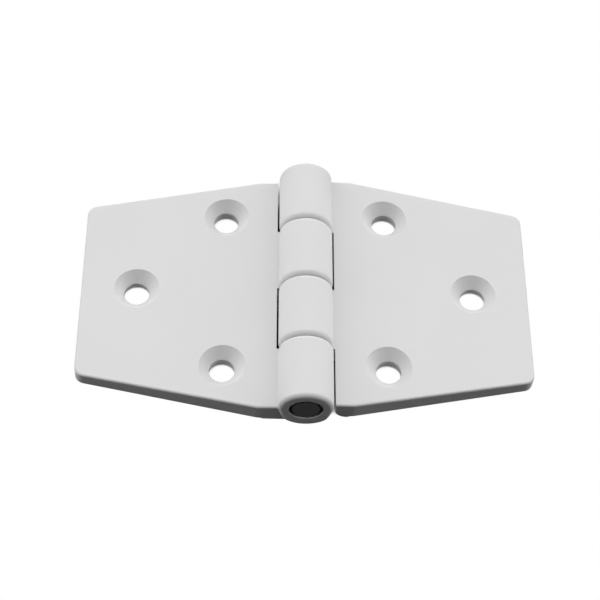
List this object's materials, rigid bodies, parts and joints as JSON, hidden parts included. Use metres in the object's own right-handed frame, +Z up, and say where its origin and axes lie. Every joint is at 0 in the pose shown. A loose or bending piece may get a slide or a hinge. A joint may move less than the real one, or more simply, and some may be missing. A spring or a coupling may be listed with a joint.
{
  "type": "leaf hinge",
  "caption": "Plastic surface-mounted hinge with two tapering leaves, countersunk screw holes, interlocking knuckles and a steel pin.",
  "frame": {"origin": "under the middle of the barrel, level with the barrel's lowest line", "axes": "+X across the leaves towards the right leaf, +Y along the pin towards the right leaf's end knuckle, +Z up, away from the mounting faces"},
  "size_m": [0.098, 0.0608, 0.0117],
  "materials": {
    "leaf_plastic": "matt moulded light grey-white plastic with a fine even texture",
    "pin_steel": "dark oxide-blackened steel rod with chamfered ends"
  },
  "bodies": {
    "left_leaf": {"left_leaf": "leaf_plastic", "hinge_pin": "pin_steel"},
    "right_leaf": {"right_leaf": "leaf_plastic"}
  },
  "joints": [
    {"name": "leaf_fold", "type": "hinge", "parent": "left_leaf", "child": "right_leaf", "pos_m": [0, 0, 0.00588], "axis": [0, -1, 0], "range_deg": [-104, 183]}
  ]
}
